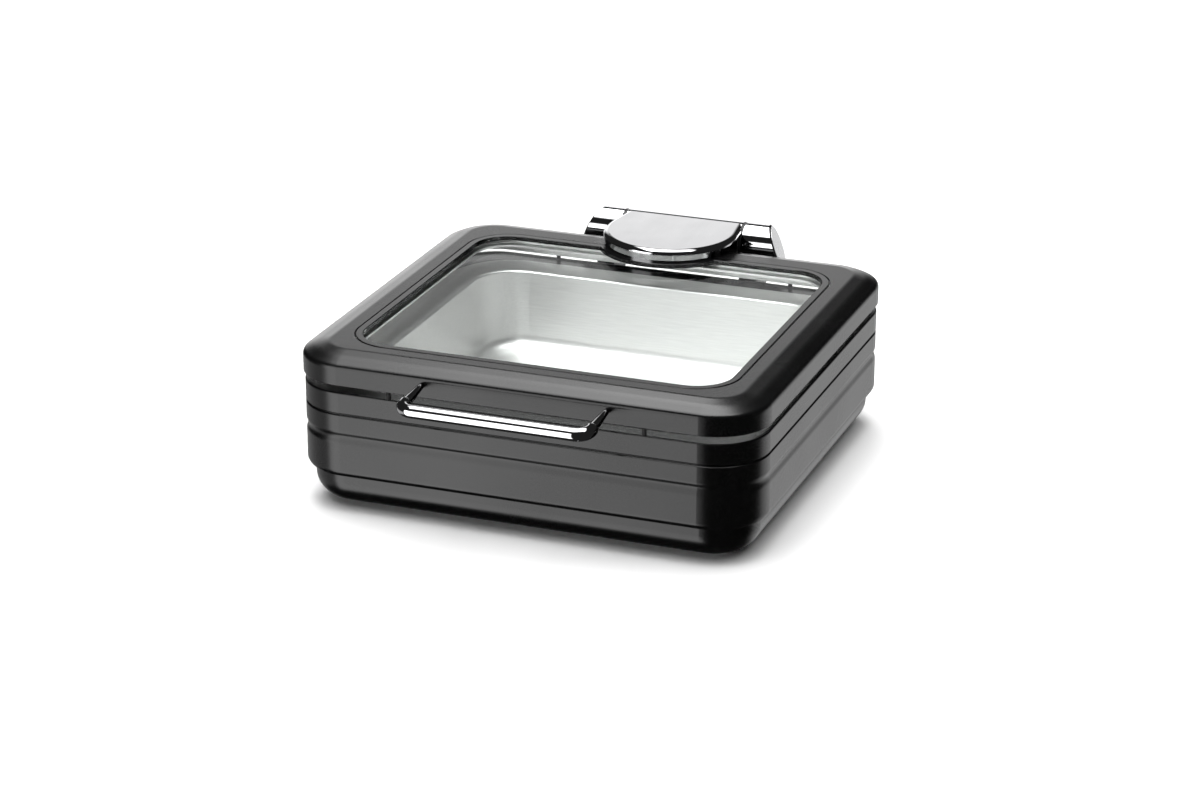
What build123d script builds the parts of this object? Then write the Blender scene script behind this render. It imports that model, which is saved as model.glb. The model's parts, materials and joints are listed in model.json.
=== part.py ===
from build123d import *
import math
import os

# Electric buffet server, millimetres. +X to the right, -Y towards the handle, +Z up.
# The origin is on the table under the middle of the housing.

# Housing
BODY_HALF_X = 209.5
BODY_HALF_Y = 199.75
CORNER = 48.0            # plan corner radius of housing and lid
SHEET = 1.2              # housing sheet
RIM_Z = 111.0            # top of the housing's rim
RIM_BEAD = 3.5           # width of the raised edge of the rim
DECK_Z = 109.8           # deck inside the rim, where the pans hang
V_GROOVE_Z = 91.4
V_GROOVE = 1.4           # depth, and half height, of the sharp groove
SOFT_GROOVE_Z = 70.0
SOFT_GROOVE = 1.8        # depth of the shallow groove
SOFT_GROOVE_HALF = 5.0
STEP_Z = 32.5            # where the housing curls in to the lower shell
STEP_INSET = 7.0
STEP_RADIUS = 6.9
BASE_Z = 3.0             # underside of the lower shell
BASE_TOP_Z = 40.0
BASE_RADIUS = 22.0
FOOT_X, FOOT_Y, FOOT_R = 135.0, 125.0, 13.0
POST_X, POST_Y, POST_R = 172.0, 162.0, 4.0

# Pans
DECK_OPEN_X, DECK_OPEN_Y, DECK_OPEN_R = 179.5, 169.0, 40.0
WATER_X, WATER_Y, WATER_R = 170.0, 156.0, 38.0
WATER_FLANGE = 25.0      # covers most of the deck
WATER_FLOOR_Z = 27.0
FOOD_X, FOOD_Y, FOOD_R = 165.0, 150.5, 40.0
FOOD_FLANGE = 12.0
FOOD_FLOOR_Z = 36.4
PAN_SHEET = 0.8

# Heater under the water pan
HEATER_HALF = 120.0
HEATER_PLATE = 3.2
ELEMENT_R = 4.0
HEATER_LOW_Z = WATER_FLOOR_Z - HEATER_PLATE
ELEMENT_Z = HEATER_LOW_Z - ELEMENT_R - 0.1
BULB_Z, BULB_R = HEATER_LOW_Z - 3.2, 3.0
SHIELD_LOW_Z, SHIELD_SHEET = 12.8, 1.0

# Lid
LID_HALF_X = 210.5
LID_HALF_Y = 200.75
LID_LOW_Z = 117.8
LID_TOP_Z = 143.5
LID_SHEET = 1.8
SKIRT_SHEET = 1.6
WINDOW_Y = -3.0          # the window is a little nearer to the handle
WINDOW_X, WINDOW_HALF_Y, WINDOW_R = 167.5, 155.0, 33.0
BEZEL = 6.5              # width of the window's lip
BEZEL_GAP = 1.3          # groove between the lip and the lid
BEZEL_TOP_Z = 143.8
GLASS_TOP_Z = 139.4
GLASS_SHEET = 4.0
RETAINER = 17.0          # how far the retainer reaches beyond the window
RETAINER_LOW_Z = GLASS_TOP_Z - GLASS_SHEET - 1.5
RETAINER_TOP_Z = LID_TOP_Z - LID_SHEET
LINER_SHEET = 0.9
LINER_INSET = 8.0        # of the liner's wall from the lid's outside
LINER_LOW_Z = 115.2
TONGUE_R = 61.5          # round tongue of the lid under the hinge cover
TONGUE_Y = 191.0         # its centre

# Handle
HANDLE_X = 83.0          # half the distance between the legs
BAR_R = 5.75
BAR_Y, BAR_Z = -248.25, 124.2
LEG_Z = 129.0            # where the legs meet the skirt
BEND_R = 11.0
LEG_TIP_R = 2.6

# Hinge
HINGE_Y, HINGE_Z = 234.0, 135.0
BARREL_R = 20.0
PIN_R = 4.0
KNUCKLE_HALF = 57.5
SLEEVE_X = 60.5          # sleeves of the housing start here
SEAM_X, SEAM_STEP = 70.0, 8.0
SEAM_GAP = 0.3
CAP_X = 91.5             # where the oblique end face crosses the axis
CAP_NORMAL = (1.0, 0.185, 0.395)
COVER_R = 63.0
COVER_TOP_Z = 155.0
COVER_SHEET = 2.6
COVER_REAR_X, COVER_REAR_Y = 58.2, 230.0
ARCH_Y, ARCH_Z = 155.0, 150.2           # low opening in each side of the cover
HINGE_SCREW_Y = 172.5
HINGE_SCREW_X = (-50.0, -26.0, 0.0, 26.0, 50.0)    # the outer two hold the cover
ARM_HALF_X = 38.0
ARM_TOP_Z = 151.4

# Controls on the rear wall
CONTROL_X = -127.0
KNOB_Z = 64.0
LAMP_Z = 93.0
INLET_X = 127.0
SOCKET_Z = 60.0
SWITCH_Z = 89.0
PLATE_X, PLATE_LOW_Z, PLATE_HIGH_Z = 30.0, 42.0, 104.0
PLATE = 2.0
PLATE_OUT_Y = BODY_HALF_Y + PLATE
ROCKER_TILT = 7.0


# ---------------------------------------------------------------- helpers

def outline(*corners):
    """Closed face in the XZ plane. Each corner is (x, z) or (x, z, radius)."""
    points = [Vector(corner[0], 0, corner[1]) for corner in corners]
    starts, ends, edges = [], [], []
    for i, here in enumerate(points):
        radius = corners[i][2] if len(corners[i]) == 3 else 0.0
        back = (points[i - 1] - here).normalized()
        ahead = (points[(i + 1) % len(points)] - here).normalized()
        if radius == 0:
            starts.append(here)
            ends.append(here)
            continue
        half = math.radians(back.get_angle(ahead)) / 2
        start = here + back * (radius / math.tan(half))
        end = here + ahead * (radius / math.tan(half))
        middle = here + (back + ahead).normalized() * (radius / math.sin(half) - radius)
        edges.append(Edge.make_three_point_arc(start, middle, end))
        starts.append(start)
        ends.append(end)
    for i, end in enumerate(ends):
        start = starts[(i + 1) % len(starts)]
        if (start - end).length > 1e-6:
            edges.append(Edge.make_line(end, start))
    return Face(Wire(edges))


def around(profile, half_x, half_y, corner, floor=None):
    """Run a profile round a rounded rectangle; its x is measured from the corner's centre.

    floor is the (low, high) z of a plate that fills the middle.
    """
    reach_x, reach_y = half_x - corner, half_y - corner
    centres = [(reach_x, reach_y), (-reach_x, reach_y), (-reach_x, -reach_y), (reach_x, -reach_y)]
    bend = revolve(profile, Axis.Z, 90)
    runs = [extrude(profile, 2 * reach_y, dir=(0, 1, 0)), extrude(profile, 2 * reach_x, dir=(0, 1, 0))]
    pieces = []
    for quarter in range(4):
        turn = Rot(0, 0, 90 * quarter)
        pieces.append(Pos(*centres[quarter], 0) * turn * bend)
        pieces.append(Pos(*centres[quarter - 1], 0) * turn * runs[quarter % 2])
    if floor:
        low, high = floor
        pieces.append(Pos(0, 0, (low + high) / 2) * Box(2 * reach_x, 2 * reach_y, high - low))
    return Part() + pieces


def slab(sketch, low, high):
    """Sketch in the XY plane made solid between two heights."""
    return Pos(0, 0, low) * extrude(sketch, high - low)


def rounded(half_x, half_y, radius, y=0.0):
    return Pos(0, y) * RectangleRounded(2 * half_x, 2 * half_y, radius)


def upright(radius, low, high, x=0.0, y=0.0):
    """Cylinder along Z."""
    return Pos(x, y, (low + high) / 2) * Cylinder(radius, high - low)


def deep(radius, low, high, x=0.0, z=0.0):
    """Cylinder along Y between two y values."""
    return Pos(x, (low + high) / 2, z) * Rot(90, 0, 0) * Cylinder(radius, high - low)


def barrel(radius, low, high):
    """Cylinder along X on the hinge axis between two x values."""
    return Pos((low + high) / 2, HINGE_Y, HINGE_Z) * Rot(0, 90, 0) * Cylinder(radius, high - low)


def block(low, high):
    """Box between two corners."""
    centre = [(a + b) / 2 for a, b in zip(low, high)]
    return Pos(*centre) * Box(*[b - a for a, b in zip(low, high)])


def hexagon(across_flats, low, high, x=0.0, y=0.0):
    """Hexagonal prism along Z."""
    return Pos(x, y) * slab(RegularPolygon(across_flats / 2, 6, major_radius=False), low, high)


def group(shapes):
    """Separate solids that share one node."""
    return Compound(children=list(shapes))


def four(x, y):
    return [(x, y), (-x, y), (-x, -y), (x, -y)]


def tube(points, radius, bend):
    """Round bar along straight runs joined by tangent arcs."""
    path = FilletPolyline(*points, radius=bend)
    section = Plane(origin=path @ 0, z_dir=path % 0) * Circle(radius)
    return sweep(section, path=path)


def other_side(shape):
    return mirror(shape, Plane.YZ)


# ---------------------------------------------------------------- housing

def body_shell():
    outer = CORNER
    inner = outer - SHEET
    soft_low, soft_high = SOFT_GROOVE_Z - SOFT_GROOVE_HALF, SOFT_GROOVE_Z + SOFT_GROOVE_HALF
    bead = outer - RIM_BEAD
    wall = outline(
        (outer, RIM_Z, 1.5), (outer, V_GROOVE_Z + V_GROOVE, 0.5), (outer - V_GROOVE, V_GROOVE_Z, 0.3),
        (outer, V_GROOVE_Z - V_GROOVE, 0.5), (outer, soft_high, 6), (outer - SOFT_GROOVE, SOFT_GROOVE_Z, 6),
        (outer, soft_low, 6), (outer, STEP_Z, STEP_RADIUS), (outer - STEP_INSET, STEP_Z),
        (outer - STEP_INSET, STEP_Z + SHEET), (inner, STEP_Z + SHEET, STEP_RADIUS - SHEET),
        (inner, soft_low, 6), (inner - SOFT_GROOVE, SOFT_GROOVE_Z, 6), (inner, soft_high, 6),
        (inner, V_GROOVE_Z - V_GROOVE, 0.5), (inner - V_GROOVE, V_GROOVE_Z, 0.3),
        (inner, V_GROOVE_Z + V_GROOVE, 0.5), (inner, RIM_Z - SHEET, 0.5), (bead - 0.4, RIM_Z - SHEET),
        (bead - 1.6, DECK_Z - SHEET), (0, DECK_Z - SHEET), (0, DECK_Z), (bead - 1, DECK_Z), (bead, RIM_Z))
    shell = around(wall, BODY_HALF_X, BODY_HALF_Y, CORNER, floor=(DECK_Z - SHEET, DECK_Z))
    shell -= slab(rounded(DECK_OPEN_X, DECK_OPEN_Y, DECK_OPEN_R), DECK_Z - 5, DECK_Z + 5)
    through = (BODY_HALF_Y - 10, BODY_HALF_Y + 10)
    shell -= deep(5.1, *through, CONTROL_X, KNOB_Z)
    shell -= deep(4.1, *through, CONTROL_X, LAMP_Z)
    shell -= Pos(INLET_X, BODY_HALF_Y, SOCKET_Z) * Box(28, 20, 21)
    shell -= Pos(INLET_X, BODY_HALF_Y, SWITCH_Z) * Box(20, 20, 13.4)
    for x, z in plate_screw_places():
        shell -= deep(1.5, *through, x, z)
    for x, z in bracket_screw_places():
        shell -= deep(2.6, *through, x, z)
    return shell


def base_shell():
    outer = CORNER - STEP_INSET - 0.2
    inner = outer - SHEET
    wall = outline(
        (outer, BASE_TOP_Z), (outer, BASE_Z, BASE_RADIUS), (0, BASE_Z), (0, BASE_Z + SHEET),
        (inner, BASE_Z + SHEET, BASE_RADIUS - SHEET), (inner, BASE_TOP_Z))
    shell = around(wall, BODY_HALF_X, BODY_HALF_Y, CORNER, floor=(BASE_Z, BASE_Z + SHEET))
    for x, y in four(FOOT_X, FOOT_Y) + four(POST_X, POST_Y):
        shell -= upright(2.1, BASE_Z - 1, BASE_Z + 5, x, y)
    return shell


def foot(x, y):
    pad = fillet(upright(FOOT_R, 0, BASE_Z, x, y).edges().group_by(Axis.Z)[0], 1)
    return pad - upright(5, -1, 2, x, y) - upright(2.1, 0, BASE_Z + 1, x, y)


def foot_screw(x, y):
    return upright(3.8, 0.5, 2, x, y) + upright(2, 2, 9, x, y)


def foot_nut(x, y):
    return hexagon(7, BASE_Z + SHEET, BASE_Z + SHEET + 3.2, x, y) - upright(2, 0, 12, x, y)


def post(x, y):
    bar = upright(POST_R, BASE_Z + SHEET, DECK_Z - SHEET, x, y)
    return bar - upright(2, 0, 16, x, y)


def post_screw(x, y):
    return upright(3.8, BASE_Z - 2.2, BASE_Z, x, y) + upright(2, BASE_Z, 15, x, y)


def lid_bumper(x, y):
    stud = upright(2, RIM_Z, LID_LOW_Z - 0.15, x, y)
    return fillet(stud.edges().group_by(Axis.Z)[-1], 0.8)


# ---------------------------------------------------------------- pans

def pan(half_x, half_y, corner, flange, floor_z, top_z, taper, radius):
    wall = outline(
        (corner + flange, top_z), (corner + flange, top_z + PAN_SHEET), (corner, top_z + PAN_SHEET, 2.2),
        (corner - taper, floor_z + PAN_SHEET, radius), (0, floor_z + PAN_SHEET), (0, floor_z),
        (corner - taper + PAN_SHEET, floor_z, radius + PAN_SHEET), (corner + PAN_SHEET, top_z, 1.4))
    return around(wall, half_x, half_y, corner, floor=(floor_z, floor_z + PAN_SHEET))


def water_pan():
    return pan(WATER_X, WATER_Y, WATER_R, WATER_FLANGE, WATER_FLOOR_Z, DECK_Z, 2, 14)


def food_pan():
    return pan(FOOD_X, FOOD_Y, FOOD_R, FOOD_FLANGE, FOOD_FLOOR_Z, DECK_Z + PAN_SHEET, 5, 13)


# ---------------------------------------------------------------- heating

def heater_plate():
    return slab(rounded(HEATER_HALF, HEATER_HALF, 20), HEATER_LOW_Z, WATER_FLOOR_Z)


def heating_element():
    legs, far, near = (90, 30), -80, 80
    route = [(-legs[0], 150), (-legs[0], far), (-legs[1], far), (-legs[1], near),
             (legs[1], near), (legs[1], far), (legs[0], far), (legs[0], 150)]
    return tube([(x, y, ELEMENT_Z) for x, y in route], ELEMENT_R, 24)


def element_clamp(y):
    strap_top = ELEMENT_Z - ELEMENT_R
    strap = block((-105, y - 7, strap_top - 1.5), (105, y + 7, strap_top))
    for x in (-60, 0, 60):
        strap += upright(3, strap_top - 0.5, HEATER_LOW_Z, x, y)
    return strap


def insulation_mat():
    return slab(rounded(120, 115, 15), BASE_Z + SHEET, SHIELD_LOW_Z)


def heat_shield():
    return slab(rounded(125, 118, 18), SHIELD_LOW_Z, SHIELD_LOW_Z + SHIELD_SHEET)


def thermostat_bulb():
    bulb = Pos(-25, 112, BULB_Z) * Rot(0, 90, 0) * Cylinder(BULB_R, 70)
    route = [(-58, 112, BULB_Z), (-72, 112, BULB_Z), (-72, 174, BULB_Z), (CONTROL_X, 174, BULB_Z),
             (CONTROL_X, 174, KNOB_Z - 16)]
    return bulb + tube(route, 0.8, 6)


def thermal_cutout():
    disc_low = HEATER_LOW_Z - 5
    disc = upright(8, disc_low, HEATER_LOW_Z, 60, 112)
    for x in (56, 64):
        disc += block((x - 0.4, 109, disc_low - 4.5), (x + 0.4, 115, disc_low + 0.5))
    return disc


def terminal_block():
    body = block((40, 158, 5), (80, 174, 18))
    for x in (48, 60, 72):
        body -= upright(2.2, 14, 20, x, 161)
    return body


def wires():
    routes = [
        [(118, 178, SOCKET_Z), (118, 166, SOCKET_Z), (118, 166, 32), (72, 166, 32), (72, 166, 18)],
        [(127, 184, SWITCH_Z), (127, 170, SWITCH_Z), (100, 170, SWITCH_Z), (100, 170, 38), (60, 170, 38),
         (60, 170, 18)],
        [(-111, 170, 60), (-98, 170, 60), (-98, 170, 44), (48, 170, 44), (48, 170, 18)],
        [(90, 151, ELEMENT_Z), (90, 166, ELEMENT_Z), (90, 166, 12), (80, 166, 12)],
        [(-90, 151, ELEMENT_Z), (-90, 164, ELEMENT_Z), (-104, 164, ELEMENT_Z), (-104, 164, 54), (-111, 164, 54)]]
    return group(tube(route, 1.2, 3) for route in routes)


# ---------------------------------------------------------------- controls at the rear

def plate_screw_places():
    return [(centre + side * (PLATE_X - 5), z) for centre in (CONTROL_X, INLET_X)
            for side in (-1, 1) for z in (PLATE_LOW_Z + 4.5, PLATE_HIGH_Z - 4.5)]


def plate(x):
    face = RectangleRounded(2 * PLATE_X, PLATE_HIGH_Z - PLATE_LOW_Z, 5)
    middle = (x, BODY_HALF_Y, (PLATE_LOW_Z + PLATE_HIGH_Z) / 2)
    panel = extrude(Plane(middle, x_dir=(1, 0, 0), z_dir=(0, 1, 0)) * face, PLATE)
    panel = fillet(panel.edges().filter_by_position(Axis.Y, PLATE_OUT_Y - 0.01, PLATE_OUT_Y + 0.01), 0.6)
    for screw_x, z in plate_screw_places():
        panel -= deep(1.6, BODY_HALF_Y - 1, PLATE_OUT_Y + 1, screw_x, z)
    return panel


def control_plate():
    through = (BODY_HALF_Y - 1, PLATE_OUT_Y + 1)
    return plate(CONTROL_X) - deep(5.1, *through, CONTROL_X, KNOB_Z) - deep(4.1, *through, CONTROL_X, LAMP_Z)


def inlet_plate():
    cuts = Pos(INLET_X, PLATE_OUT_Y, SOCKET_Z) * Box(28, 10, 21)
    cuts += Pos(INLET_X, PLATE_OUT_Y, SWITCH_Z) * Box(20, 10, 13.4)
    return plate(INLET_X) - cuts


def plate_screw(x, z):
    head = deep(2.9, PLATE_OUT_Y, PLATE_OUT_Y + 1.8, x, z)
    head = fillet(head.edges().group_by(Axis.Y)[-1], 0.9)
    slot = Pos(x, PLATE_OUT_Y + 1.8, z) * Box(4, 1.4, 0.8)
    return head - slot + deep(1.5, PLATE_OUT_Y - 8, PLATE_OUT_Y, x, z)


def power_inlet():
    out = PLATE_OUT_Y
    flange = Pos(INLET_X, out + 1.25, SOCKET_Z) * Box(48, 2.5, 23)
    flange = fillet(flange.edges().filter_by(Axis.Y), 5)
    housing = flange + block((INLET_X - 13.5, out - 22, SOCKET_Z - 10), (INLET_X + 13.5, out, SOCKET_Z + 10))
    cavity = Pos(INLET_X, out - 5, SOCKET_Z) * Box(24.4, 20, 16.6)
    cavity = chamfer(cavity.edges().filter_by(Axis.Y).group_by(Axis.Z)[-1], 4.5)
    housing -= cavity
    return housing


def inlet_pins():
    places = [(-7, -2), (0, 2), (7, -2)]
    low, high = PLATE_OUT_Y - 15, PLATE_OUT_Y - 2
    return group(block((INLET_X + x - 1, low, SOCKET_Z + z - 2), (INLET_X + x + 1, high, SOCKET_Z + z + 2))
                 for x, z in places)


def switch_housing():
    out = PLATE_OUT_Y
    bezel = Pos(INLET_X, out + 0.9, SWITCH_Z) * Box(23, 1.8, 16)
    bezel = fillet(bezel.edges().filter_by(Axis.Y), 2)
    housing = bezel + block((INLET_X - 9.8, out - 17, SWITCH_Z - 6.5), (INLET_X + 9.8, out, SWITCH_Z + 6.5))
    housing -= block((INLET_X - 8.4, out - 9, SWITCH_Z - 5.4), (INLET_X + 8.4, out + 5, SWITCH_Z + 5.4))
    return housing - upright(1.06, SWITCH_Z - 6.1, SWITCH_Z + 6.1, INLET_X, out - 2)


def switch_rocker():
    low, ridge, tip = -4.5, 3.6, 5.2
    section = Polyline((-7.7, tip), (-6.2, low), (6.2, low), (7.7, tip), (0, ridge), close=True)
    rocker = slab(make_face(section), -5.1, 5.1)
    rocker += upright(1, -5.9, 5.9)
    return Pos(INLET_X, PLATE_OUT_Y - 2, SWITCH_Z) * Rot(0, 0, -ROCKER_TILT) * rocker


def lamp_bezel():
    ring = deep(7, PLATE_OUT_Y, PLATE_OUT_Y + 2.2, CONTROL_X, LAMP_Z)
    ring = fillet(ring.edges().group_by(Axis.Y)[-1], 1)
    stem = deep(4, PLATE_OUT_Y - 18, PLATE_OUT_Y, CONTROL_X, LAMP_Z)
    return ring + stem - deep(5, PLATE_OUT_Y + 0.6, PLATE_OUT_Y + 5, CONTROL_X, LAMP_Z)


def lamp_lens():
    lens = deep(4.95, PLATE_OUT_Y + 0.6, PLATE_OUT_Y + 4.6, CONTROL_X, LAMP_Z)
    return fillet(lens.edges().group_by(Axis.Y)[-1], 2.5)


def thermostat_body():
    body = block((CONTROL_X - 16, 160, KNOB_Z - 16), (CONTROL_X + 16, 193, KNOB_Z + 16))
    body = fillet(body.edges(), 1.5)
    body += deep(5, 192, PLATE_OUT_Y + 4, CONTROL_X, KNOB_Z)
    return body - deep(3.06, 175, 220, CONTROL_X, KNOB_Z)


def thermostat_nut():
    nut = hexagon(13, 0, 2.4)
    placed = Pos(CONTROL_X, PLATE_OUT_Y + 2.4, KNOB_Z) * Rot(90, 0, 0) * nut
    return placed - deep(5, PLATE_OUT_Y - 1, PLATE_OUT_Y + 4, CONTROL_X, KNOB_Z)


def thermostat_shaft():
    return deep(3, 176, PLATE_OUT_Y + 15, CONTROL_X, KNOB_Z)


def thermostat_knob():
    low, high, radius, ribs = PLATE_OUT_Y + 4.6, PLATE_OUT_Y + 20, 17.0, 18
    knob = deep(radius, low, high, CONTROL_X, KNOB_Z)
    knob = fillet(knob.edges().group_by(Axis.Y)[-1], 2)
    for i in range(ribs):
        angle = 2 * math.pi * i / ribs
        x, z = CONTROL_X + radius * math.cos(angle), KNOB_Z + radius * math.sin(angle)
        knob -= deep(1.3, low + 3, high + 1, x, z)
    knob -= deep(10, low - 1, low + 3, CONTROL_X, KNOB_Z)
    knob -= Pos(CONTROL_X, high, KNOB_Z + 9) * Box(1.6, 1.4, 12)
    return knob - deep(3, low, PLATE_OUT_Y + 15, CONTROL_X, KNOB_Z)


# ---------------------------------------------------------------- lid

def tongue(radius):
    return Pos(0, TONGUE_Y) * Circle(radius)


def window(grow=0.0):
    """Plan of the window, larger by grow all round, without the tongue."""
    return rounded(WINDOW_X + grow, WINDOW_HALF_Y + grow, WINDOW_R + grow, WINDOW_Y)


def lid_frame():
    outer, crest = CORNER, CORNER - 23
    inner, under = outer - SKIRT_SHEET, LID_TOP_Z - LID_SHEET
    wall = outline(
        (outer, LID_LOW_Z, 0.6), (outer, 135.6, 5), (outer - 11, 140.7, 26), (crest, LID_TOP_Z, 12),
        (0, LID_TOP_Z), (0, under), (crest, under, 12), (inner - 9.7, 139.0, 26), (inner, 134.4, 3.4),
        (inner, LID_LOW_Z + 1.4, 0.6), (outer - 5.5, LID_LOW_Z + 1.4), (outer - 5.5, LID_LOW_Z))
    frame = around(wall, LID_HALF_X, LID_HALF_Y, CORNER, floor=(under, LID_TOP_Z))
    opening = window(BEZEL + BEZEL_GAP) - tongue(TONGUE_R)
    frame -= slab(opening, under - 1, LID_TOP_Z + 1)
    for x, y in retainer_screw_places():
        frame -= upright(1.5, under - 1, LID_TOP_Z - 0.7, x, y)
    for x in HINGE_SCREW_X:
        frame -= upright(2.1, under - 1, LID_TOP_Z + 1, x, HINGE_SCREW_Y)
    for side in (-1, 1):
        frame -= deep(1.6, -LID_HALF_Y - 5, -LID_HALF_Y + 5, side * HANDLE_X, LEG_Z)
    return frame


def window_bezel():
    ring = window(BEZEL) - (window() - tongue(COVER_R + 5)) - tongue(TONGUE_R + 0.8)
    bezel = slab(ring, GLASS_TOP_Z + 0.4, BEZEL_TOP_Z)
    rim = bezel.edges().filter_by_position(Axis.Z, BEZEL_TOP_Z - 0.01, BEZEL_TOP_Z + 0.01)
    return chamfer(rim, 0.5)


def glass_seal():
    ring = window(BEZEL - 0.8) - window(1.5)
    return slab(ring, GLASS_TOP_Z, GLASS_TOP_Z + 0.4)


def lid_glass():
    pane = slab(window(BEZEL - 0.5), GLASS_TOP_Z - GLASS_SHEET, GLASS_TOP_Z)
    return chamfer(pane.edges().filter_by_position(Axis.Z, GLASS_TOP_Z - 0.01, GLASS_TOP_Z + 0.01), 0.5)


def glass_retainer():
    corner = WINDOW_R + RETAINER
    inner, wall, sheet = WINDOW_R, WINDOW_R + 7.4, 1.4
    low, top = RETAINER_LOW_Z, RETAINER_TOP_Z
    section = outline(
        (corner, top), (corner, top - sheet), (wall + sheet, top - sheet, 0.6), (wall + sheet, low, 1.6),
        (inner, low), (inner, low + sheet), (wall, low + sheet, 0.4), (wall, top, 1.6))
    ring = Pos(0, WINDOW_Y) * around(section, WINDOW_X + RETAINER, WINDOW_HALF_Y + RETAINER, corner)
    for x, y in retainer_screw_places():
        ring -= upright(1.6, low - 1, top + 1, x, y)
    return ring


def lid_liner():
    """Drawn inner shell of the lid, from the window out to a wall just inside the skirt."""
    outer, top = CORNER - LINER_INSET, RETAINER_LOW_Z
    inner, under = outer - LINER_SHEET, top - LINER_SHEET
    section = outline(
        (0, under), (0, top), (outer, top, 9), (outer, LINER_LOW_Z), (inner, LINER_LOW_Z), (inner, under, 8.1))
    shell = around(section, LID_HALF_X, LID_HALF_Y, CORNER, floor=(under, top))
    return shell - slab(window(0.5), under - 1, top + 1)


def retainer_screw_places():
    reach_x, reach_y = WINDOW_X + RETAINER - 4, WINDOW_HALF_Y + RETAINER - 4
    sides = [(side * reach_x, WINDOW_Y + y) for side in (-1, 1) for y in (-95, 0, 95)]
    ends = [(x, WINDOW_Y + side * reach_y) for side in (-1, 1) for x in (-110, 110)]
    return sides + ends


def retainer_screw(x, y):
    under = RETAINER_TOP_Z - 1.4
    return upright(2.8, under - 2, under, x, y) + upright(1.5, under, LID_TOP_Z - 0.8, x, y)


def lid_handle():
    slope = math.degrees(math.atan2(LEG_Z - BAR_Z, -LID_HALF_Y - BAR_Y))
    reach = math.hypot(LEG_Z - BAR_Z, -LID_HALF_Y - BAR_Y)
    bar_half = HANDLE_X - BEND_R
    bar = Rot(0, 90, 0) * Cylinder(BAR_R, 2 * bar_half)
    elbow = revolve(Plane.YZ * Circle(BAR_R), Axis((0, BEND_R, 0), (0, 0, 1)), 90)
    section = make_face(Polyline((0, BEND_R), (BAR_R, BEND_R), (BAR_R, BEND_R + 1.5), (BAR_R - 1.3, BEND_R + 4.5),
                                 (LEG_TIP_R, reach), (LEG_TIP_R, reach + 3), (0, reach + 3), close=True))
    leg = Pos(HANDLE_X, 0, 0) * revolve(section, Axis.Y, 360)
    side = Pos(bar_half, 0, 0) * elbow + leg
    handle = Pos(0, BAR_Y, BAR_Z) * Rot(slope, 0, 0) * (bar + side + other_side(side))
    handle -= block((-120, -LID_HALF_Y, 90), (120, -LID_HALF_Y + 20, 160))
    for side in (-1, 1):
        handle -= deep(1.5, -LID_HALF_Y - 6, -LID_HALF_Y + 1, side * HANDLE_X, LEG_Z)
    return handle


def handle_washer(x):
    inside = -LID_HALF_Y + SKIRT_SHEET
    return deep(3.2, inside, inside + 0.8, x, LEG_Z) - deep(1.6, inside - 1, inside + 2, x, LEG_Z)


def handle_screw(x):
    seat = -LID_HALF_Y + SKIRT_SHEET + 0.8
    return deep(2.8, seat, seat + 2, x, LEG_Z) + deep(1.5, -LID_HALF_Y - 5.5, seat, x, LEG_Z)


# ---------------------------------------------------------------- hinge, lid side

def cover_plan():
    """Round front whose sides run on tangent to the narrower rear edge."""
    back = COVER_REAR_Y - TONGUE_Y
    angle = math.atan2(back, COVER_REAR_X) - math.acos(COVER_R / math.hypot(COVER_REAR_X, back))
    side_x, side_y = COVER_R * math.cos(angle), TONGUE_Y + COVER_R * math.sin(angle)
    arc = ThreePointArc((side_x, side_y), (0, TONGUE_Y - COVER_R), (-side_x, side_y))
    rear = Polyline((-side_x, side_y), (-COVER_REAR_X, COVER_REAR_Y), (COVER_REAR_X, COVER_REAR_Y),
                    (side_x, side_y))
    return make_face([arc, rear])


def hinge_cover():
    cover = slab(cover_plan(), BEZEL_TOP_Z, COVER_TOP_Z)
    top = cover.edges().filter_by_position(Axis.Z, COVER_TOP_Z - 0.01, COVER_TOP_Z + 0.01)
    cover = fillet(top.sort_by(Axis.Y)[:-1], 5)
    hollow_r = COVER_R - COVER_SHEET
    hollow = tongue(hollow_r) + Pos(0, COVER_REAR_Y - 20) * Rectangle(2 * (COVER_REAR_X - COVER_SHEET), 50)
    cover -= slab(hollow, LID_TOP_Z - 1, COVER_TOP_Z - COVER_SHEET)
    arch = outline((ARCH_Y, 140), (ARCH_Y, ARCH_Z, 4), (240, ARCH_Z), (240, 140))
    cover -= Pos(80, 0, 0) * extrude(Rot(0, 0, 90) * arch, 160, dir=(-1, 0, 0))
    for x in (HINGE_SCREW_X[0], HINGE_SCREW_X[-1]):
        cover += upright(5, LID_TOP_Z, COVER_TOP_Z - 2, x, HINGE_SCREW_Y)
        cover -= upright(2, LID_TOP_Z - 1, COVER_TOP_Z - 4, x, HINGE_SCREW_Y)
    return cover - barrel(BARREL_R + 0.05, -80, 80)


def hinge_knuckle():
    tube_part = barrel(BARREL_R, -KNUCKLE_HALF, KNUCKLE_HALF)
    arm = block((-ARM_HALF_X, 146, LID_TOP_Z), (ARM_HALF_X, 228, ARM_TOP_Z))
    knuckle = fillet(tube_part.edges(), 0.6) + arm
    knuckle -= barrel(14.2, -48, 48)
    knuckle -= barrel(7, -60, 60)
    for x in HINGE_SCREW_X[1:-1]:
        knuckle -= upright(2, LID_TOP_Z - 1, ARM_TOP_Z - 1.5, x, HINGE_SCREW_Y)
    return knuckle


def hinge_screw(x):
    under = LID_TOP_Z - LID_SHEET
    return upright(3.2, under - 2.2, under, x, HINGE_SCREW_Y) + upright(2, under, 149, x, HINGE_SCREW_Y)


def hinge_bush():
    return barrel(7, 48, KNUCKLE_HALF) - barrel(PIN_R + 0.05, 40, 60)


# ---------------------------------------------------------------- hinge, housing side

def bracket_screw_places():
    return [(x, z) for x in (-45, 45) for z in (70, 97)]


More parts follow.
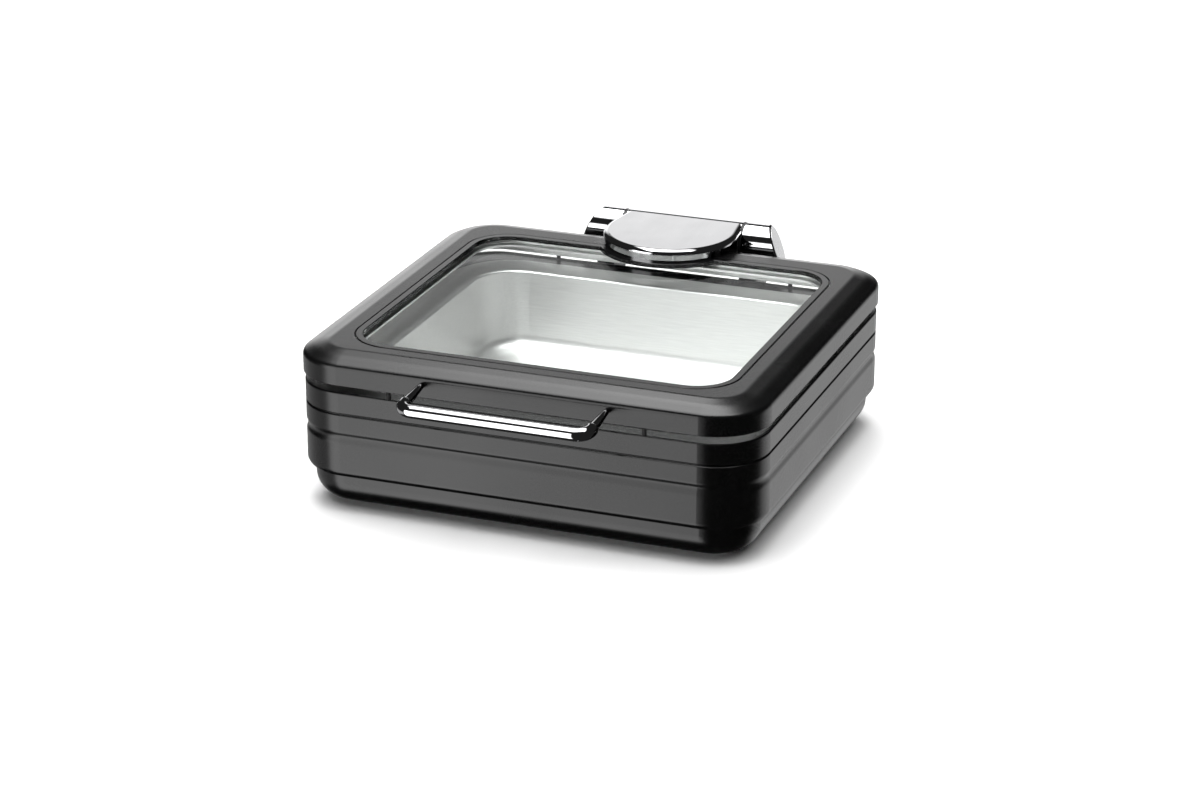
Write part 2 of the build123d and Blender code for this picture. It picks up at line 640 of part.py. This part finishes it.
def hinge_bracket():
    wall, face = BODY_HALF_Y, BODY_HALF_Y + 4
    bracket = fillet(block((-84, wall, 60), (84, face, 105)).edges().filter_by(Axis.Y), 4)
    side = outline((face - 1, 62), (214, 62, 6), (250, 116, 6), (HINGE_Y, HINGE_Z), (216, 125), (face - 1, 104))
    arm = extrude(Rot(0, 0, 90) * side, 17, dir=(1, 0, 0))
    for x in (62, -79):
        bracket += Pos(x, 0, 0) * arm
    bracket -= barrel(BARREL_R + 0.02, -90, 90)
    for x, z in bracket_screw_places():
        bracket -= deep(2.6, wall - 1, face + 1, x, z)
    return bracket


def bracket_screw(x, z):
    face = BODY_HALF_Y + 4
    head = fillet(deep(4.6, face, face + 3, x, z).edges().group_by(Axis.Y)[-1], 1.4)
    socket = Plane((x, face + 4, z), z_dir=(0, -1, 0)) * RegularPolygon(1.5, 6, major_radius=False)
    head -= extrude(socket, 3)
    return head + deep(2.5, BODY_HALF_Y - 9, face, x, z)


def bracket_nut(x, z):
    nut = Pos(x, BODY_HALF_Y - 3, z) * Rot(90, 0, 0) * hexagon(8, 0, 4)
    return nut - deep(2.5, BODY_HALF_Y - 10, BODY_HALF_Y, x, z)


def seam_half():
    """Half of the barrel behind the long step of the seam."""
    step_angle = 40
    half = block((SEAM_X - 1, -30, 0), (SEAM_X + SEAM_STEP, 30, 30))
    return Pos(0, HINGE_Y, HINGE_Z) * Rot(step_angle - 90, 0, 0) * half


def hinge_sleeve():
    sleeve = barrel(BARREL_R, SLEEVE_X, SEAM_X)
    sleeve += barrel(BARREL_R, SEAM_X - 0.5, SEAM_X + SEAM_STEP) & seam_half()
    return sleeve - barrel(PIN_R, 50, 100)


def cap_side(depth):
    """Everything beyond the oblique end face, moved in by depth."""
    middle = Vector(CAP_X, HINGE_Y, HINGE_Z) - Vector(*CAP_NORMAL).normalized() * depth
    return Plane(middle, z_dir=CAP_NORMAL) * Pos(0, 0, 50) * Box(200, 200, 100)


def hinge_end():
    end = barrel(BARREL_R, SEAM_X + SEAM_GAP, 120)
    end -= Pos(SEAM_GAP, 0, 0) * (barrel(BARREL_R + 1, SEAM_X - 1, SEAM_X + SEAM_STEP) & seam_half())
    end -= cap_side(0)
    rim = end.edges().filter_by(GeomType.ELLIPSE).sort_by(Axis.X)[-1]
    end = chamfer(rim, 1.3)
    end -= barrel(BARREL_R - 1.9, 60, 120) & cap_side(1.2)
    return end - barrel(PIN_R, 50, 84)


def cap_disc():
    return barrel(BARREL_R - 1.9, 70, 120) & cap_side(1.2) - cap_side(-0.1)


def hinge_washer():
    return barrel(BARREL_R - 0.6, KNUCKLE_HALF + 0.15, SLEEVE_X) - barrel(PIN_R + 0.05, 50, 70)


def hinge_pin():
    return barrel(PIN_R, -84, 84)


def hinge_damper():
    return barrel(13.7, -15, 15) - barrel(PIN_R, -20, 20)


def torsion_spring():
    path = Helix(pitch=2.9, height=29, radius=9)
    section = Plane(origin=path @ 0, z_dir=path % 0) * Circle(1.1)
    coil = sweep(section, path=path, is_frenet=True)
    return Pos(17.5, HINGE_Y, HINGE_Z) * Rot(0, 90, 0) * coil


# ---------------------------------------------------------------- writing

def nodes():
    both = [(side * 115, y) for side in (-1, 1) for y in (-BODY_HALF_Y + 1.9, BODY_HALF_Y - 1.9)]
    cover_screws = (HINGE_SCREW_X[0], HINGE_SCREW_X[-1])
    made = {
        "body_shell": body_shell(),
        "base_shell": base_shell(),
        "feet": group(foot(x, y) for x, y in four(FOOT_X, FOOT_Y)),
        "feet_screws": group(foot_screw(x, y) for x, y in four(FOOT_X, FOOT_Y)),
        "feet_nuts": group(foot_nut(x, y) for x, y in four(FOOT_X, FOOT_Y)),
        "corner_posts": group(post(x, y) for x, y in four(POST_X, POST_Y)),
        "post_screws": group(post_screw(x, y) for x, y in four(POST_X, POST_Y)),
        "lid_bumpers": group(lid_bumper(x, y) for x, y in both),
        "water_pan": water_pan(),
        "food_pan": food_pan(),
        "heater_plate": heater_plate(),
        "heating_element": heating_element(),
        "element_clamps": group(element_clamp(y) for y in (-40, 40)),
        "insulation_mat": insulation_mat(),
        "heat_shield": heat_shield(),
        "thermostat_bulb": thermostat_bulb(),
        "thermal_cutout": thermal_cutout(),
        "terminal_block": terminal_block(),
        "wiring": wires(),
        "control_plate": control_plate(),
        "inlet_plate": inlet_plate(),
        "plate_screws": group(plate_screw(x, z) for x, z in plate_screw_places()),
        "power_inlet": power_inlet(),
        "inlet_pins": inlet_pins(),
        "switch_housing": switch_housing(),
        "switch_rocker": switch_rocker(),
        "lamp_bezel": lamp_bezel(),
        "lamp_lens": lamp_lens(),
        "thermostat_body": thermostat_body(),
        "thermostat_nut": thermostat_nut(),
        "thermostat_shaft": thermostat_shaft(),
        "thermostat_knob": thermostat_knob(),
        "lid_frame": lid_frame(),
        "window_bezel": window_bezel(),
        "glass_seal": glass_seal(),
        "lid_glass": lid_glass(),
        "glass_retainer": glass_retainer(),
        "lid_liner": lid_liner(),
        "retainer_screws": group(retainer_screw(x, y) for x, y in retainer_screw_places()),
        "lid_handle": lid_handle(),
        "handle_washers": group(handle_washer(x) for x in (-HANDLE_X, HANDLE_X)),
        "handle_screws": group(handle_screw(x) for x in (-HANDLE_X, HANDLE_X)),
        "hinge_cover": hinge_cover(),
        "cover_screws": group(hinge_screw(x) for x in cover_screws),
        "hinge_knuckle": hinge_knuckle(),
        "hinge_screws": group(hinge_screw(x) for x in HINGE_SCREW_X[1:-1]),
        "hinge_bushes": group([hinge_bush(), other_side(hinge_bush())]),
        "hinge_bracket": hinge_bracket(),
        "bracket_screws": group(bracket_screw(x, z) for x, z in bracket_screw_places()),
        "bracket_nuts": group(bracket_nut(x, z) for x, z in bracket_screw_places()),
        "hinge_pin": hinge_pin(),
        "hinge_damper": hinge_damper(),
        "torsion_springs": group([torsion_spring(), other_side(torsion_spring())]),
        "hinge_washers": group([hinge_washer(), other_side(hinge_washer())]),
    }
    for name, shape in (("hinge_sleeve", hinge_sleeve()), ("hinge_end", hinge_end()), ("cap_disc", cap_disc())):
        made[name + "_right"] = shape
        made[name + "_left"] = other_side(shape)
    return made


os.makedirs("parts", exist_ok=True)
for node, shape in nodes().items():
    export_step(shape, f"parts/{node}.step")
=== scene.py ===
import bpy
import bmesh
import json
import math
from mathutils import Matrix, Vector


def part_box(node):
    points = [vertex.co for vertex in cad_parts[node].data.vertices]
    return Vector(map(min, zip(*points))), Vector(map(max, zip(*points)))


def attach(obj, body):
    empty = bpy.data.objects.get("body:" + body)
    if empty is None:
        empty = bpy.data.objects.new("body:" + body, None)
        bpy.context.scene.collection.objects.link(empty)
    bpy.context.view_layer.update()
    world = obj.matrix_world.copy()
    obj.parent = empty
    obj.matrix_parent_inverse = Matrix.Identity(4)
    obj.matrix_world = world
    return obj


# Electric buffet server. Metres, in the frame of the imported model: +Z up, handle towards -Y.

CAMERA_AT = (0.988, -2.615, 1.1423)
CAMERA_TURN = (68.73, 0.0, 20.67)      # degrees
CAMERA_LENS = 100.9                    # millimetres on a 36 mm sensor
FLOOR_HALF = 30.0

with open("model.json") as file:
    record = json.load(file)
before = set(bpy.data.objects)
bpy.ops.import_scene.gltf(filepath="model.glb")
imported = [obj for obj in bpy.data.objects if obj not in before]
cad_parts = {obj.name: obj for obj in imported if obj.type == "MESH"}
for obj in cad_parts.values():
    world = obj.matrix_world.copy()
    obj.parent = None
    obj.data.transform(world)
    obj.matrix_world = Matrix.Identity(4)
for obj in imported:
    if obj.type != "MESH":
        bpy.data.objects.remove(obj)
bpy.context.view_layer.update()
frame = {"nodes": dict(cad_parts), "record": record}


# ---------------------------------------------------------------- node helpers

class Tree:
    """Short calls for adding nodes to one shader tree."""

    def __init__(self, tree):
        self.tree = tree

    def add(self, kind, inputs=None, **settings):
        node = self.tree.nodes.new(kind)
        for name, value in settings.items():
            setattr(node, name, value)
        for name, value in (inputs or {}).items():
            self.put(value, node.inputs[name])
        return node

    def put(self, value, socket):
        """Link value if it is a socket, otherwise store it."""
        if isinstance(value, bpy.types.NodeSocket):
            self.tree.links.new(value, socket)
        else:
            socket.default_value = value

    def math(self, operation, a, b=0.0):
        node = self.add("ShaderNodeMath", operation=operation)
        self.put(a, node.inputs[0])
        self.put(b, node.inputs[1])
        return node.outputs[0]

    def place(self, stretch=(1.0, 1.0, 1.0)):
        """Object coordinates in metres, scaled by stretch."""
        coordinates = self.add("ShaderNodeTexCoord").outputs["Object"]
        return self.add("ShaderNodeMapping", {"Vector": coordinates, "Scale": stretch}).outputs["Vector"]

    def noise(self, scale, detail=2.0, stretch=(1.0, 1.0, 1.0), roughness=0.5):
        values = {"Vector": self.place(stretch), "Scale": scale, "Detail": detail, "Roughness": roughness}
        return self.add("ShaderNodeTexNoise", values).outputs["Fac"]

    def between(self, value, low, high, start=0.3, end=0.7, smooth=False):
        """Map start..end of value to low..high."""
        kind = "SMOOTHSTEP" if smooth else "LINEAR"
        values = {"Value": value, "From Min": start, "From Max": end, "To Min": low, "To Max": high}
        return self.add("ShaderNodeMapRange", values, interpolation_type=kind).outputs["Result"]

    def shades(self, value, dark, light):
        """Colour between two greys or tints, led by value. The mix node's colours are its inputs 6 and 7."""
        node = self.add("ShaderNodeMix", data_type="RGBA")
        self.put(value, node.inputs[0])
        node.inputs[6].default_value = (*dark, 1.0)
        node.inputs[7].default_value = (*light, 1.0)
        return node.outputs[2]

    def bump(self, height, strength, distance):
        values = {"Height": height, "Strength": strength, "Distance": distance}
        return self.add("ShaderNodeBump", values).outputs["Normal"]

    def blend(self, share, first, second, output):
        """Send the first shader, mixed with a share of the second, to the output."""
        mix = self.add("ShaderNodeMixShader")
        for value, socket in zip((share, first.outputs[0], second.outputs[0]), mix.inputs):
            self.put(value, socket)
        self.put(mix.outputs[0], self.tree.nodes[output].inputs["Surface"])


def material(name):
    """New material as (material, tree, its Principled shader)."""
    made = bpy.data.materials.new(name)
    made.use_nodes = True
    tree = Tree(made.node_tree)
    return made, tree, made.node_tree.nodes["Principled BSDF"]


EDGE_RADIUS = 0.0008                   # how far in from an edge the paint is worn


def edge_wear(tree, radius):
    """1 on sharp edges and 0 on flat faces."""
    soft = tree.add("ShaderNodeBevel", {"Radius": radius}, samples=4).outputs["Normal"]
    true = tree.add("ShaderNodeNewGeometry").outputs["Normal"]
    dot = tree.add("ShaderNodeVectorMath", operation="DOT_PRODUCT")
    tree.put(soft, dot.inputs[0])
    tree.put(true, dot.inputs[1])
    return tree.between(dot.outputs["Value"], 1.0, 0.0, 0.80, 0.995)


# ---------------------------------------------------------------- materials

def paint(name, dark, light, roughness, spread):
    """Baked enamel: fine orange peel, slow changes of gloss, edges a little worn."""
    made, tree, shader = material(name)
    cloud = tree.noise(9.0, 3.0)
    peel = tree.noise(620.0, 2.0)
    dust = tree.noise(2600.0, 1.0)
    patches = tree.between(tree.noise(70.0, 4.0), 0.0, 1.0, 0.4, 0.75)
    worn = tree.math("MULTIPLY", edge_wear(tree, EDGE_RADIUS), patches)
    tone = tree.math("ADD", tree.between(cloud, 0.0, 0.4), tree.math("MULTIPLY", worn, 0.6))
    tree.put(tree.shades(tone, dark, light), shader.inputs["Base Color"])
    gloss = tree.between(tree.math("ADD", cloud, tree.math("MULTIPLY", dust, 0.35)),
                         roughness - spread, roughness + spread, 0.45, 0.9)
    tree.put(tree.math("ADD", gloss, tree.math("MULTIPLY", worn, 0.08)), shader.inputs["Roughness"])
    tree.put(tree.bump(peel, 0.05, 0.0004), shader.inputs["Normal"])
    return made


def polished(name, tone, roughness):
    """Mirror plating with faint wiping marks."""
    made, tree, shader = material(name)
    shader.inputs["Metallic"].default_value = 1.0
    wipe = tree.noise(60.0, 4.0, (1.0, 0.25, 1.0))
    wave = tree.noise(28.0, 1.0)
    dark = [value * 0.93 for value in tone]
    tree.put(tree.shades(tree.between(wipe, 0.0, 1.0), dark, tone), shader.inputs["Base Color"])
    tree.put(tree.between(wipe, roughness * 0.7, roughness * 1.5), shader.inputs["Roughness"])
    tree.put(tree.bump(wave, 0.03, 0.002), shader.inputs["Normal"])
    return made


def brushed(name, tone, roughness, stretch, strength):
    """Metal with fine parallel grain; stretch is small along the grain."""
    made, tree, shader = material(name)
    shader.inputs["Metallic"].default_value = 1.0
    grain = tree.noise(900.0, 3.0, stretch)
    cloud = tree.noise(14.0, 3.0)
    dark = [value * 0.9 for value in tone]
    tree.put(tree.shades(tree.between(grain, 0.0, 1.0), dark, tone), shader.inputs["Base Color"])
    mixed = tree.math("ADD", tree.math("MULTIPLY", grain, 0.6), tree.math("MULTIPLY", cloud, 0.4))
    tree.put(tree.between(mixed, roughness * 0.85, roughness * 1.2, 0.35, 0.65), shader.inputs["Roughness"])
    tree.put(tree.bump(grain, strength, 0.0002), shader.inputs["Normal"])
    return made


def moulded(name, dark, light, roughness, grain_scale=1400.0, strength=0.12):
    """Moulded plastic or rubber with a fine spark-eroded texture."""
    made, tree, shader = material(name)
    grain = tree.noise(grain_scale, 3.0)
    cloud = tree.noise(35.0, 2.0)
    tree.put(tree.shades(tree.between(cloud, 0.0, 1.0), dark, light), shader.inputs["Base Color"])
    tree.put(tree.between(grain, roughness - 0.07, roughness + 0.07), shader.inputs["Roughness"])
    tree.put(tree.bump(grain, strength, 0.0003), shader.inputs["Normal"])
    return made


def fibre_mat():
    """Pressed mineral fibre."""
    made, tree, shader = material("insulation_fibre")
    fibres = tree.noise(420.0, 6.0, (1.0, 0.3, 1.0), 0.7)
    colour = tree.shades(tree.between(fibres, 0.0, 1.0), (0.52, 0.5, 0.44), (0.82, 0.8, 0.74))
    tree.put(colour, shader.inputs["Base Color"])
    tree.put(tree.between(fibres, 0.8, 0.98), shader.inputs["Roughness"])
    tree.put(tree.bump(fibres, 0.6, 0.001), shader.inputs["Normal"])
    return made


GLASS_TINT = (0.97, 0.98, 0.975, 1.0)
GLASS_MIRRORS_HEAD_ON, GLASS_MIRRORS_MORE = 0.014, 0.32


def pane():
    """Clear coated glass: what lies behind shows, and the studio is mirrored more at low angles."""
    made = bpy.data.materials.new("tempered_glass")
    made.use_nodes = True
    tree = Tree(made.node_tree)
    made.node_tree.nodes.remove(made.node_tree.nodes["Principled BSDF"])
    facing = tree.add("ShaderNodeLayerWeight", {"Blend": 0.5}).outputs["Facing"]
    glancing = tree.math("MULTIPLY", tree.math("POWER", facing, 5.0), GLASS_MIRRORS_MORE)
    mirrored = tree.math("ADD", glancing, GLASS_MIRRORS_HEAD_ON)
    smudge = tree.noise(22.0, 5.0)
    clear = tree.add("ShaderNodeBsdfTransparent", {"Color": GLASS_TINT})
    gloss = tree.add("ShaderNodeBsdfGlossy", {"Roughness": tree.between(smudge, 0.0, 0.035)})
    tree.blend(mirrored, clear, gloss, "Material Output")
    return made


def lens():
    """Ribbed, partly clear green plastic."""
    made, tree, shader = material("lamp_lens_green")
    ribs = tree.noise(300.0, 1.0, (1.0, 0.1, 1.0))
    colour = tree.shades(tree.between(ribs, 0.0, 1.0), (0.02, 0.3, 0.06), (0.08, 0.55, 0.14))
    tree.put(colour, shader.inputs["Base Color"])
    tree.put(tree.between(ribs, 0.08, 0.2), shader.inputs["Roughness"])
    tree.put(tree.bump(ribs, 0.2, 0.0004), shader.inputs["Normal"])
    shader.inputs["Transmission Weight"].default_value = 0.35
    return made


BLACKS = (0.0012, 0.0012, 0.0013), (0.0028, 0.0028, 0.0029)
ALONG_X = (0.05, 1.0, 1.0)
ALONG_X_FINE = (0.04, 1.0, 1.0)
NO_GRAIN = (1.0, 1.0, 1.0)
MATERIALS = {
    "black_paint": paint("black_enamel", *BLACKS, 0.26, 0.03),
    "black_trim": paint("black_trim_enamel", *BLACKS, 0.2, 0.03),
    "chrome": polished("polished_chrome", (0.64, 0.64, 0.65), 0.035),
    "satin_chrome": brushed("satin_chrome", (0.78, 0.78, 0.79), 0.24, ALONG_X_FINE, 0.06),
    "stainless": brushed("satin_stainless", (0.86, 0.86, 0.855), 0.44, ALONG_X, 0.015),
    "zinc_steel": brushed("zinc_plate", (0.6, 0.61, 0.63), 0.34, NO_GRAIN, 0.1),
    "aluminium": brushed("cast_aluminium", (0.7, 0.71, 0.72), 0.42, NO_GRAIN, 0.2),
    "brass": brushed("brass", (0.72, 0.52, 0.24), 0.3, NO_GRAIN, 0.08),
    "glass": pane(),
    "rubber": moulded("black_rubber", (0.011, 0.011, 0.011), (0.02, 0.02, 0.02), 0.72, 900.0, 0.2),
    "black_plastic": moulded("black_plastic", (0.014, 0.014, 0.015), (0.022, 0.022, 0.023), 0.42),
    "white_plastic": moulded("white_plastic", (0.72, 0.71, 0.68), (0.8, 0.79, 0.77), 0.45),
    "wire_silicone": moulded("silicone_sleeve", (0.42, 0.07, 0.04), (0.52, 0.1, 0.06), 0.5),
    "insulation": fibre_mat(),
    "lamp_green": lens(),
}


def dress_frame():
    """Give every CAD node the finish of its material slot, which names the imported material."""
    for node in frame["nodes"].values():
        slot = node.material_slots[0].material.name.split(".")[0]
        node.material_slots[0].link = "OBJECT"
        node.material_slots[0].material = MATERIALS[slot]


# ---------------------------------------------------------------- markings

MARK_LIFT = 0.00025                    # how far a printed mark stands off its face
MARK_EDGE = 0.00006                    # softening of its edges
DIAL_STEPS, DIAL_SWEEP = 13, 270.0
DIAL_RADIUS = 0.0178
TICK_SHORT, TICK_LONG = 0.0022, 0.0034
TICK_THIN, TICK_WIDER = 0.0005, 0.0007
POINTER = (0.0013, 0.0005, 0.0116)
POINTER_DOWN, POINTER_UP = 0.00045, 0.009      # of its middle: below the knob's face, above its axis
ROCKER_TILT = -7.0                     # degrees, of the rocker at rest
ROCKER_SLOPE = 11.7                    # of each half of the rocker's face
ROCKER_MARK = (0.0042, 0.00447)        # middle of each mark from the pivot, along and out
LINE_WIDE, LINE_HIGH = 0.0007, 0.004
RING_PARTS, RING_RADIUS = 20, 0.0016
RING_PART = (0.00062, 2 * MARK_LIFT, 0.0006)


def bar(made, place, size):
    """Add a box of a given size, put in place by a matrix."""
    bmesh.ops.create_cube(made, size=1.0, matrix=place @ Matrix.Diagonal((*size, 1.0)))


def finish_piece(name, made, body, finish):
    """Make the mesh an object with softened edges that moves with a body."""
    mesh = bpy.data.meshes.new(name)
    made.to_mesh(mesh)
    made.free()
    mesh.materials.append(MATERIALS[finish])
    piece = bpy.data.objects.new(name, mesh)
    bpy.context.scene.collection.objects.link(piece)
    soften = piece.modifiers.new("soften", "BEVEL")
    soften.width, soften.segments = MARK_EDGE, 2
    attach(piece, body)


def dial_marks():
    """Ticks over the travel of the thermostat knob, wider towards the hot end."""
    low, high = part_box("thermostat_knob")
    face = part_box("control_plate")[1].y
    centre = Matrix.Translation(((low.x + high.x) / 2, face, (low.z + high.z) / 2))
    made = bmesh.new()
    for step in range(DIAL_STEPS):
        share = step / (DIAL_STEPS - 1)
        turn = Matrix.Rotation(-math.radians(DIAL_SWEEP * share), 4, "Y")
        length = TICK_SHORT if step % 2 else TICK_LONG
        out = Matrix.Translation((0.0, 0.0, DIAL_RADIUS + length / 2))
        bar(made, centre @ turn @ out, (TICK_THIN + TICK_WIDER * share, 2 * MARK_LIFT, length))
    finish_piece("dial_marks", made, "base", "black_plastic")


def knob_pointer():
    """White line in the knob's groove."""
    low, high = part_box("thermostat_knob")
    made = bmesh.new()
    middle = ((low.x + high.x) / 2, high.y - POINTER_DOWN, (low.z + high.z) / 2 + POINTER_UP)
    bar(made, Matrix.Translation(middle), POINTER)
    finish_piece("knob_pointer", made, "knob", "white_plastic")


def rocker_marks():
    """Line and ring on the two halves of the rocker."""
    joints = {joint["name"]: joint for joint in frame["record"]["behaviour"]["joints"]}
    pivot = Matrix.Translation(joints["switch_tilt"]["pos_m"])
    rocker = pivot @ Matrix.Rotation(math.radians(ROCKER_TILT), 4, "Z")
    along, out = ROCKER_MARK
    line_face, ring_face = [Matrix.Translation((side * along, out, 0.0))
                            @ Matrix.Rotation(math.radians(side * ROCKER_SLOPE), 4, "Z") for side in (1, -1)]
    made = bmesh.new()
    bar(made, rocker @ line_face, (LINE_WIDE, 2 * MARK_LIFT, LINE_HIGH))
    to_ring = Matrix.Translation((0.0, 0.0, RING_RADIUS))
    for part in range(RING_PARTS):
        turn = Matrix.Rotation(math.tau * part / RING_PARTS, 4, "Y")
        bar(made, rocker @ ring_face @ turn @ to_ring, RING_PART)
    finish_piece("rocker_marks", made, "switch", "white_plastic")


# ---------------------------------------------------------------- studio

def make_floor():
    made = bmesh.new()
    bmesh.ops.create_grid(made, x_segments=2, y_segments=2, size=FLOOR_HALF)
    mesh = bpy.data.meshes.new("floor")
    made.to_mesh(mesh)
    made.free()
    floor = bpy.data.objects.new("floor", mesh)
    bpy.context.scene.collection.objects.link(floor)
    white, tree, shader = material("pale_floor")
    grain = tree.noise(3.0, 2.0)
    tree.put(tree.shades(grain, (0.86, 0.86, 0.86), (0.88, 0.88, 0.88)), shader.inputs["Base Color"])
    shader.inputs["Roughness"].default_value = 0.9
    shader.inputs["Specular IOR Level"].default_value = 0.0
    mesh.materials.append(white)
    floor.visible_glossy = False


# Soft panels of the studio: azimuth from -Y towards +X and elevation of the middle, half widths and
# soft edge, all in degrees, then radiance.
PANELS = [
    (-32.0, -12.0, 17.0, 38.0, 4.0, 3.3),       # tall window at the front left
    (-155.0, 5.0, 15.0, 15.0, 8.0, 1.7),        # rear wall
    (152.0, -21.0, 28.0, 21.0, 8.0, 0.95),      # lit floor behind
    (-101.0, -24.0, 46.0, 14.0, 6.0, 0.47),     # lit floor at the left
]
STUDIO_DARK = 0.02
BACKDROP = 1.1

# Ceiling light: a band across the ceiling that narrows towards the rear, in units of its height above.
CEILING_ALONG = (-0.42, 0.91)
CEILING_ACROSS = (0.91, 0.42)
CEILING_MIDDLE = -0.045
CEILING_HALF, CEILING_TAPER = 0.40, 0.32
CEILING_START, CEILING_END = -0.3, 1.15
CEILING_SOFT = 0.08
CEILING_RADIANCE = 6.2


def panel(tree, direction, azimuth, elevation, half_wide, half_high, soft, radiance):
    """Light of one soft-edged patch of the studio in a direction."""
    angle = math.radians(90 - azimuth)
    turned = tree.add("ShaderNodeVectorRotate", {"Vector": direction, "Angle": angle}, rotation_type="Z_AXIS")
    parts = tree.add("ShaderNodeSeparateXYZ", {"Vector": turned.outputs["Vector"]}).outputs
    across = tree.math("ABSOLUTE", tree.math("ARCTAN2", parts["Y"], parts["X"]))
    up = tree.math("ARCSINE", parts["Z"])
    away = tree.math("ABSOLUTE", tree.math("SUBTRACT", up, math.radians(elevation)))
    edges = [(math.radians(half - soft), math.radians(half + soft)) for half in (half_wide, half_high)]
    inside = tree.between(across, 1.0, 0.0, *edges[0], smooth=True)
    level = tree.between(away, 1.0, 0.0, *edges[1], smooth=True)
    return tree.math("MULTIPLY", tree.math("MULTIPLY", inside, level), radiance)


def ceiling(tree, direction):
    """Light of the tapered band on the ceiling in a direction."""
    parts = tree.add("ShaderNodeSeparateXYZ", {"Vector": direction}).outputs
    height = tree.math("MAXIMUM", parts["Z"], 0.02)
    x, y = tree.math("DIVIDE", parts["X"], height), tree.math("DIVIDE", parts["Y"], height)

    def run(axis):
        return tree.math("ADD", tree.math("MULTIPLY", x, axis[0]), tree.math("MULTIPLY", y, axis[1]))

    along = run(CEILING_ALONG)
    off_middle = tree.math("ABSOLUTE", tree.math("SUBTRACT", run(CEILING_ACROSS), CEILING_MIDDLE))
    half = tree.math("SUBTRACT", CEILING_HALF, tree.math("MULTIPLY", along, CEILING_TAPER))

    def past(value, edge, before, after):
        """Soft change from before to after as value passes the edge."""
        return tree.between(value, before, after, edge - CEILING_SOFT, edge + CEILING_SOFT, smooth=True)

    inside = past(tree.math("SUBTRACT", half, off_middle), 0.0, 0.0, 1.0)
    begun = past(along, CEILING_START, 0.0, 1.0)
    not_ended = past(along, CEILING_END, 1.0, 0.0)
    lit = tree.math("MULTIPLY", tree.math("MULTIPLY", inside, begun), not_ended)
    return tree.math("MULTIPLY", lit, CEILING_RADIANCE)


def make_world():
    """White backdrop for the camera; panels and ceiling band for everything else."""
    world = bpy.data.worlds.new("studio")
    bpy.context.scene.world = world
    world.use_nodes = True
    tree = Tree(world.node_tree)
    direction = tree.add("ShaderNodeTexCoord").outputs["Generated"]
    light = tree.math("ADD", ceiling(tree, direction), STUDIO_DARK)
    for values in PANELS:
        light = tree.math("ADD", light, panel(tree, direction, *values))
    background = world.node_tree.nodes["Background"]
    tree.put(tree.add("ShaderNodeCombineColor", {"Red": light, "Green": light, "Blue": light}).outputs[0],
             background.inputs["Color"])
    white = tree.add("ShaderNodeBackground", {"Color": (1.0, 1.0, 1.0, 1.0), "Strength": BACKDROP})
    seen = tree.add("ShaderNodeLightPath").outputs["Is Camera Ray"]
    tree.blend(seen, background, white, "World Output")


STEEL = ("food_pan", "water_pan", "lid_liner", "glass_retainer")
STEEL_AIM = (0.0, 0.0, 0.08)


def area_light(name, place, aim, size, power):
    """Soft light seen only by matt surfaces."""
    data = bpy.data.lights.new(name, "AREA")
    data.shape = "RECTANGLE"
    data.size, data.size_y = size
    data.energy = power
    light = bpy.data.objects.new(name, data)
    light.location = place
    light.rotation_euler = (Vector(aim) - Vector(place)).to_track_quat("-Z", "Y").to_euler()
    light.visible_glossy = False
    light.visible_camera = False
    bpy.context.scene.collection.objects.link(light)
    return light


def steel_light(name, place, size, power):
    """Soft light on the satin steel under the glass only."""
    light = area_light(name, place, STEEL_AIM, size, power)
    light.visible_glossy = True
    receivers = bpy.data.collections.new(name + "_receivers")
    for node in STEEL:
        receivers.objects.link(frame["nodes"][node])
    light.light_linking.receiver_collection = receivers


def make_camera():
    data = bpy.data.cameras.new("camera")
    data.lens = CAMERA_LENS
    data.clip_start, data.clip_end = 0.01, 200.0
    camera = bpy.data.objects.new("camera", data)
    camera.location = CAMERA_AT
    camera.rotation_euler = [math.radians(angle) for angle in CAMERA_TURN]
    bpy.context.scene.collection.objects.link(camera)
    bpy.context.scene.camera = camera


dress_frame()
dial_marks()
knob_pointer()
rocker_marks()
make_floor()
make_world()
area_light("overhead", (0.0, 0.2, 2.5), (0.0, 0.0, 0.0), (5.0, 5.0), 100.0)
steel_light("steel_rear", (-0.95, 1.25, 1.0), (1.2, 0.9), 5.0)
steel_light("steel_front", (-0.45, -1.0, 1.5), (1.0, 1.0), 24.0)
make_camera()
bpy.context.scene.view_settings.view_transform = "Standard"
